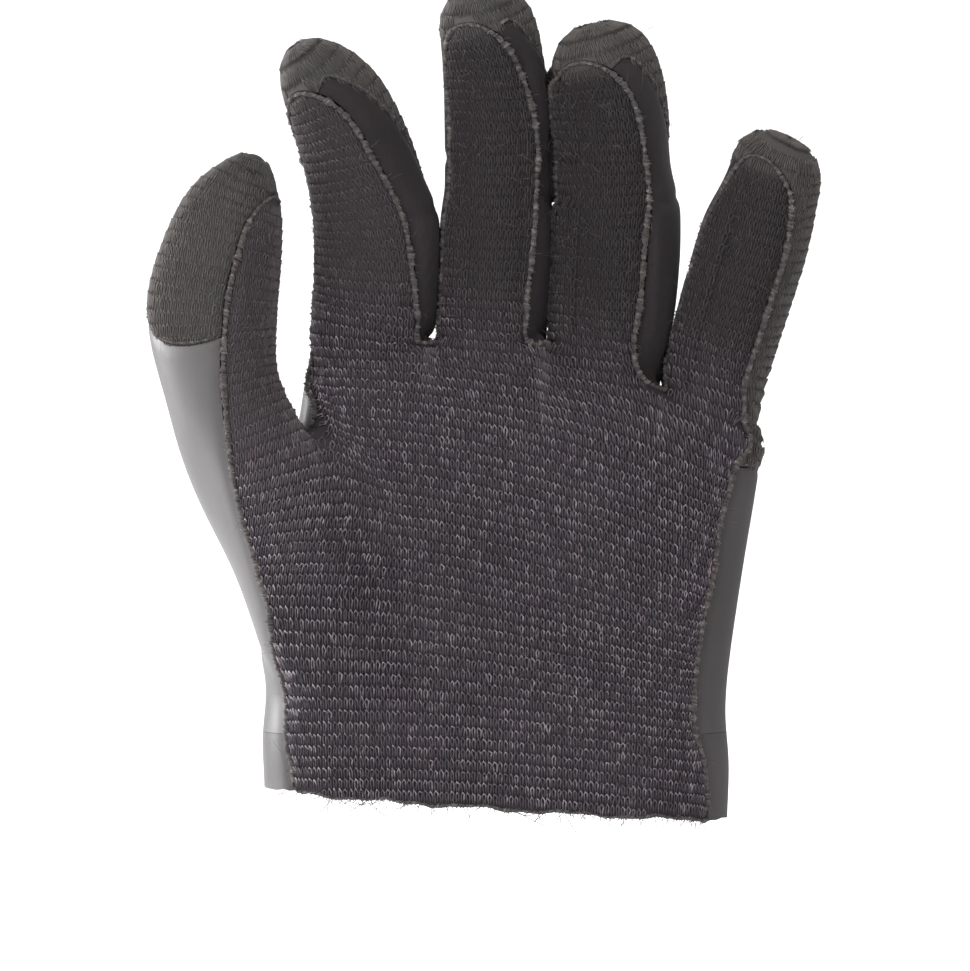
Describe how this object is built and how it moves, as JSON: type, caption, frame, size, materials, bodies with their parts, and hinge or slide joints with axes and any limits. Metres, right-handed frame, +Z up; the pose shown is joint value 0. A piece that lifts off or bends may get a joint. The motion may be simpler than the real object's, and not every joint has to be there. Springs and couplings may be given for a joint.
{
  "type": "diving glove",
  "caption": "Left diving glove of foam rubber, in its worn form, with a knit faced palm and fingertips, smooth skin back and cuff, and smooth strips between the fingers",
  "frame": {"origin": "middle of the wrist opening, where the hand goes in and the glove is held", "axes": "+Z up the hand to the fingertips, the palm faces -Y, the thumb is on the -X side"},
  "size_m": [0.1515, 0.0543, 0.1881],
  "materials": {
    "palm_knit": "coarse knit of looped yarn over foam rubber",
    "tip_knit": "coarse knit, fuzzy",
    "smooth_skin": "smooth skin foam rubber, satin",
    "side_cloth": "fine stretch cloth over foam rubber, matt"
  },
  "bodies": {
    "root": {"palm_panel": "palm_knit", "back_panel": "smooth_skin", "cuff_band": "smooth_skin", "index_middle_fourchette": "side_cloth", "middle_ring_fourchette": "side_cloth", "ring_little_fourchette": "side_cloth", "index_cap": "tip_knit", "middle_cap": "tip_knit", "ring_cap": "tip_knit", "little_cap": "tip_knit", "thumb_cap": "tip_knit"}
  },
  "joints": []
}
